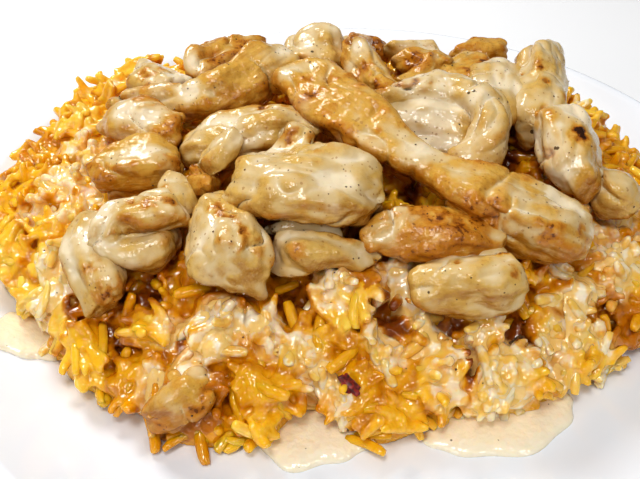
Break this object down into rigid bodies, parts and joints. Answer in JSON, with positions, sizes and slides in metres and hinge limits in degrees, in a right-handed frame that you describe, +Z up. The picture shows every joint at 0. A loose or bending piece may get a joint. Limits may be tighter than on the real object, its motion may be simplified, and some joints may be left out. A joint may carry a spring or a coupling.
{
  "type": "plated chicken and rice",
  "caption": "Round white coupe plate with a mound of glossy yellow-orange rice, topped with piled seared chicken strips under a thin pale cream sauce; a ready served meal.",
  "frame": {"origin": "the middle of the plate's foot ring, on the table", "axes": "+Z up, -Y towards the side the meal is seen and eaten from, +X to that viewer's right"},
  "size_m": [0.21, 0.21, 0.0548],
  "materials": {
    "white_glaze": "glossy white glaze",
    "saffron_rice": "moist cooked rice, yellow-orange",
    "cooked_chicken": "moist cooked chicken, golden",
    "seared_chicken": "moist cooked chicken, browned",
    "sauced_chicken": "cooked chicken under glossy cream sauce",
    "cream_sauce": "glossy pale cream sauce"
  },
  "bodies": {
    "root": {"plate": "white_glaze", "rice_heap": "saffron_rice", "sauce_pool_left": "cream_sauce", "sauce_pool_front": "cream_sauce", "sauce_pool_right": "cream_sauce", "chicken_back_brown_strip": "seared_chicken", "chicken_back_crest_curl": "sauced_chicken", "chicken_back_glazed_strip": "seared_chicken", "chicken_back_knotted_piece": "cooked_chicken", "chicken_back_ring_chunk": "cooked_chicken", "chicken_back_sauced_chunk": "sauced_chicken", "chicken_back_sliver": "sauced_chicken", "chicken_back_thin_strip": "cooked_chicken", "chicken_big_sauced_chunk": "sauced_chicken", "chicken_curled_strip": "sauced_chicken", "chicken_far_left_brown_strip": "seared_chicken", "chicken_far_left_sauced_end": "sauced_chicken", "chicken_foot_seared_chunk": "seared_chicken", "chicken_front_rounded_chunk": "sauced_chicken", "chicken_front_seared_strip": "seared_chicken", "chicken_front_smooth_chunk": "sauced_chicken", "chicken_left_folded_strip": "sauced_chicken", "chicken_left_glossy_slice": "sauced_chicken", "chicken_left_rounded_chunk": "cooked_chicken", "chicken_left_upright_strip": "sauced_chicken", "chicken_left_wave_strip": "cooked_chicken", "chicken_long_strip": "cooked_chicken", "chicken_middle_arm": "sauced_chicken", "chicken_middle_sauced_strip": "sauced_chicken", "chicken_narrow_link_strip": "sauced_chicken", "chicken_right_back_lobe": "sauced_chicken", "chicken_right_charred_chunk": "cooked_chicken", "chicken_right_lobed_strip": "sauced_chicken", "chicken_right_sauced_lump": "sauced_chicken", "chicken_small_front_strip": "sauced_chicken", "chicken_small_middle_piece": "seared_chicken", "chicken_thin_grey_strip": "sauced_chicken"}
  },
  "joints": []
}
